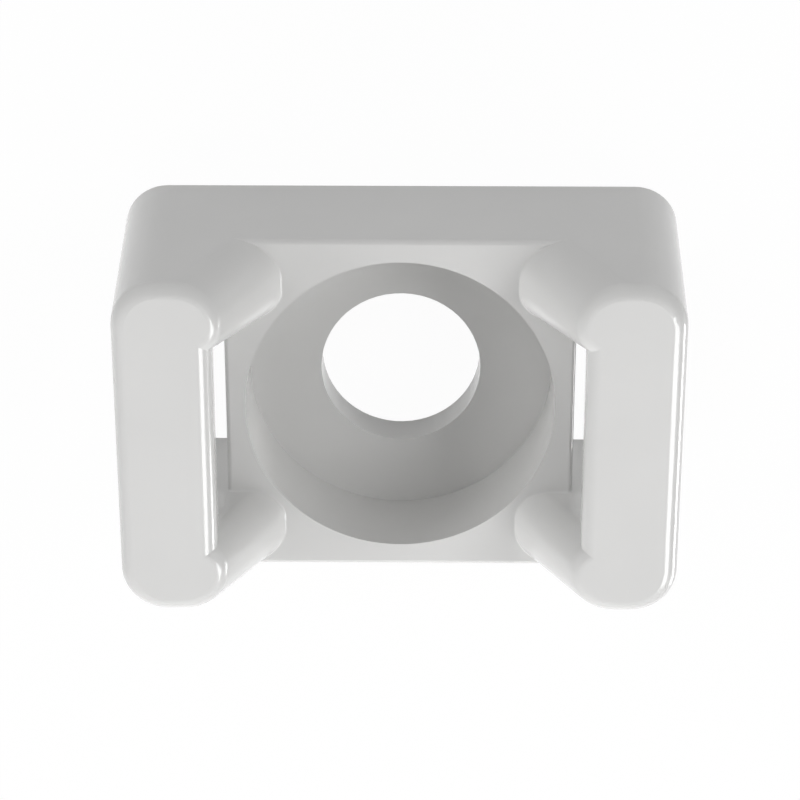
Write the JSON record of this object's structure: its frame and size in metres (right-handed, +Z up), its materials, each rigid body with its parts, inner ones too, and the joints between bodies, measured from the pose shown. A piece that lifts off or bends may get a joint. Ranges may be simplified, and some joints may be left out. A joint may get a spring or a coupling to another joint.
{
  "type": "cable tie mount",
  "caption": "Screw-down saddle mount for cable ties: a rectangular block with a sunk screw seat, leaning legs and end bars that a tie passes under.",
  "frame": {"origin": "centre of the base, on the axis of the screw hole", "axes": "+X along the length towards one end bar, +Y across the width along the cable's way, +Z up along the screw hole's axis"},
  "size_m": [0.022, 0.0142, 0.0098],
  "materials": {
    "natural_nylon": "satin, as moulded"
  },
  "bodies": {
    "root": {"tie_mount": "natural_nylon"}
  },
  "joints": []
}
